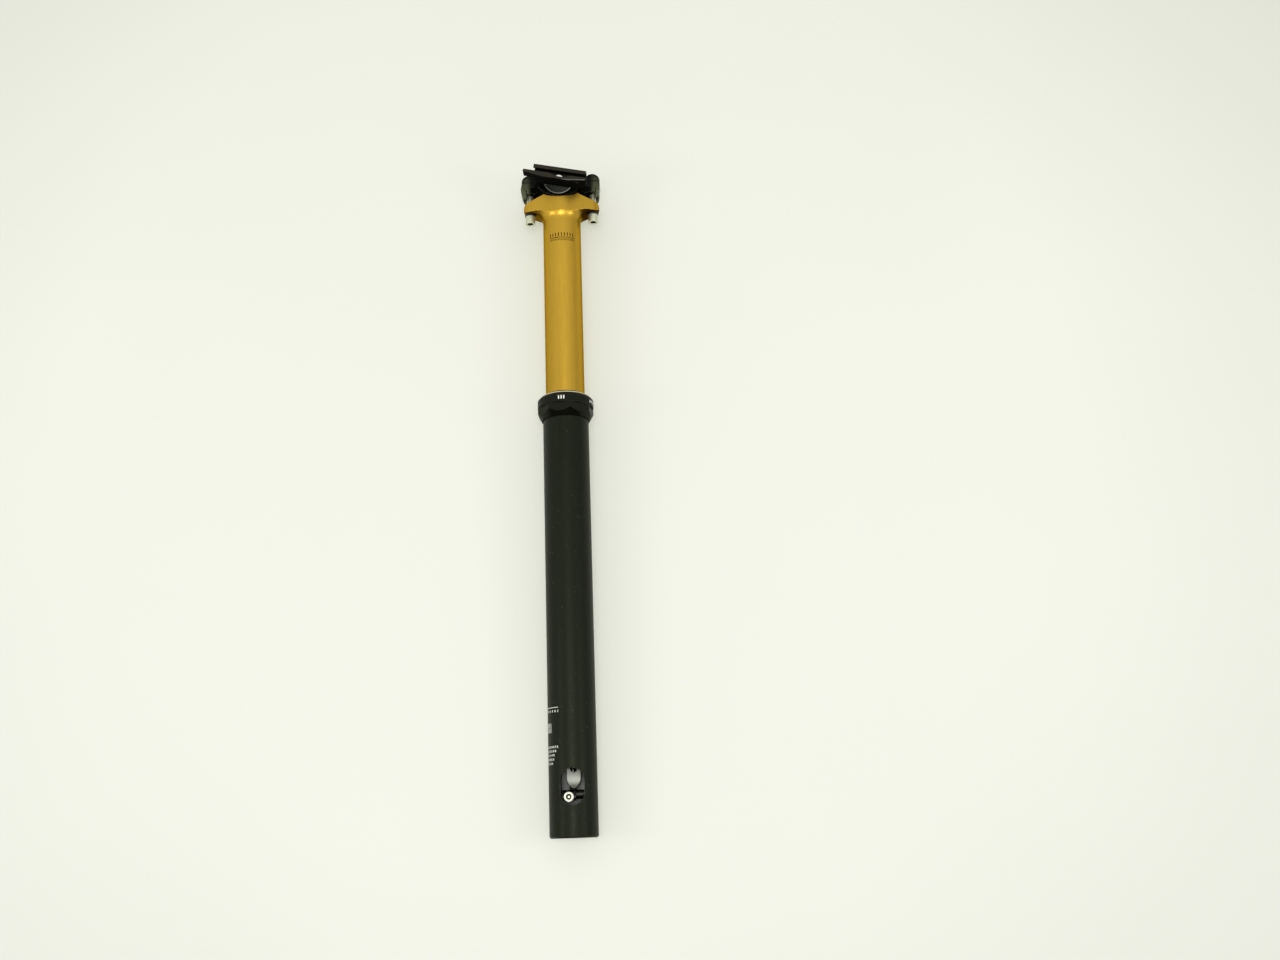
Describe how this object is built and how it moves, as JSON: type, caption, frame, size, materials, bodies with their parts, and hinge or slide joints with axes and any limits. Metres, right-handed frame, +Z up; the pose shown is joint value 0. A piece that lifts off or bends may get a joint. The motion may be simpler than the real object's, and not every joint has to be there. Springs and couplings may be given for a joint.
{
  "type": "dropper seatpost",
  "caption": "Telescoping bicycle seatpost with a black lower tube and collar, a gold sliding post with a trough head, a two-bolt rail clamp and a cable-worked valve.",
  "frame": {"origin": "on the post's axis at the shoulder under the collar, where the bicycle frame's seat tube ends", "axes": "+Z up along the post, +X to the front of the bicycle, +Y to its left; the actuator window looks along -Y"},
  "size_m": [0.0574, 0.054, 0.4652],
  "materials": {
    "black_tube": "satin black anodised",
    "black_collar": "satin black anodised, bare bright edge",
    "gold": "polished gold coating",
    "black_clamp": "satin black anodised, forged and machined",
    "steel_bolt": "bright plated steel",
    "black_steel": "black oxide steel",
    "nut_steel": "black oxide steel with rubbed edges",
    "grey_housing": "dark grey anodised, turned",
    "silver": "bead blasted bare alloy",
    "steel_rod": "ground steel",
    "rubber": "black rubber",
    "bronze": "sintered bronze bearing",
    "brass": "plain brass",
    "pale_plastic": "bearing plastic",
    "spring_steel": "spring steel"
  },
  "bodies": {
    "lower": {"lower_tube": "black_tube", "collar": "black_collar", "wiper_seal": "rubber", "upper_bushing": "bronze", "actuator_housing": "grey_housing", "housing_clip": "spring_steel", "lever_pin": "steel_rod", "valve_rod_seal": "rubber", "valve_spring": "spring_steel", "shaft": "steel_rod", "shaft_nut": "steel_rod", "piston": "brass", "piston_seal": "rubber", "bottom_bumper": "rubber"},
    "upper": {"upper_post": "gold", "glide_ring": "pale_plastic", "guide_keys": "brass", "seal_head": "silver", "shaft_seal": "rubber", "seal_head_clip": "spring_steel", "top_out_bumper": "rubber"},
    "floating": {"floating_piston": "silver", "floating_piston_seal": "rubber"},
    "clamp": {"lower_cradle": "black_clamp", "upper_clamp": "black_clamp"},
    "front_bolt_body": {"front_bolt": "steel_bolt", "front_washer": "black_steel"},
    "rear_bolt_body": {"rear_bolt": "steel_bolt", "rear_washer": "black_steel"},
    "front_nut_body": {"front_nut": "nut_steel"},
    "rear_nut_body": {"rear_nut": "nut_steel"},
    "lever": {"release_lever": "silver"},
    "barrel": {"cable_barrel": "black_steel", "cable_screw": "steel_bolt"},
    "valve": {"valve_rod": "steel_rod"}
  },
  "joints": [
    {"name": "post_slide", "type": "slide", "parent": "lower", "child": "upper", "axis": [0, 0, 1], "range_m": [-0.125, 0], "stiffness_N_per_m": 200, "springref_m": 0.5},
    {"name": "floating_piston_slide", "type": "slide", "parent": "upper", "child": "floating", "axis": [0, 0, 1], "range_m": [0, 0.02373]},
    {"name": "clamp_tilt", "type": "hinge", "parent": "upper", "child": "clamp", "pos_m": [0, 0, 0.1872], "axis": [0, 1, 0], "range_deg": [-6, 6]},
    {"name": "valve_slide", "type": "slide", "parent": "lower", "child": "valve", "axis": [0, 0, 1], "range_m": [0, 0.00094], "stiffness_N_per_m": 3000, "springref_m": -0.0002, "deforming": ["valve_spring"]},
    {"name": "release_lever_swing", "type": "hinge", "parent": "lower", "child": "lever", "pos_m": [0, -0.0034, -0.252], "axis": [1, 0, 0], "range_deg": [0, 20.71]},
    {"name": "cable_barrel_turn", "type": "hinge", "parent": "lever", "child": "barrel", "pos_m": [-0.0024, -0.0094, -0.2536], "axis": [1, 0, 0], "range_deg": [-20.71, 0]},
    {"name": "front_bolt_swing", "type": "hinge", "parent": "upper", "child": "front_bolt_body", "pos_m": [0.0228, 0, 0.14985], "axis": [0, 1, 0], "range_deg": [-1.51, 1.51]},
    {"name": "front_nut_turn", "type": "hinge", "parent": "clamp", "child": "front_nut_body", "pos_m": [0.0228, 0, 0.1805], "axis": [0, 1, 0], "range_deg": [-8.41, 8.41]},
    {"name": "rear_bolt_swing", "type": "hinge", "parent": "upper", "child": "rear_bolt_body", "pos_m": [-0.0228, 0, 0.14985], "axis": [0, 1, 0], "range_deg": [-1.51, 1.51]},
    {"name": "rear_nut_turn", "type": "hinge", "parent": "clamp", "child": "rear_nut_body", "pos_m": [-0.0228, 0, 0.1805], "axis": [0, 1, 0], "range_deg": [-8.41, 8.41]}
  ],
  "couplings": [
    {"joint": "floating_piston_slide", "follows": "post_slide", "ratio": -0.18904},
    {"joint": "release_lever_swing", "follows": "valve_slide", "rad_per_m": 334.45},
    {"joint": "cable_barrel_turn", "follows": "valve_slide", "rad_per_m": -334.45},
    {"joint": "front_bolt_swing", "follows": "clamp_tilt", "ratio": -0.2186},
    {"joint": "front_nut_turn", "follows": "clamp_tilt", "ratio": -1.2186},
    {"joint": "rear_bolt_swing", "follows": "clamp_tilt", "ratio": -0.2186},
    {"joint": "rear_nut_turn", "follows": "clamp_tilt", "ratio": -1.2186}
  ]
}
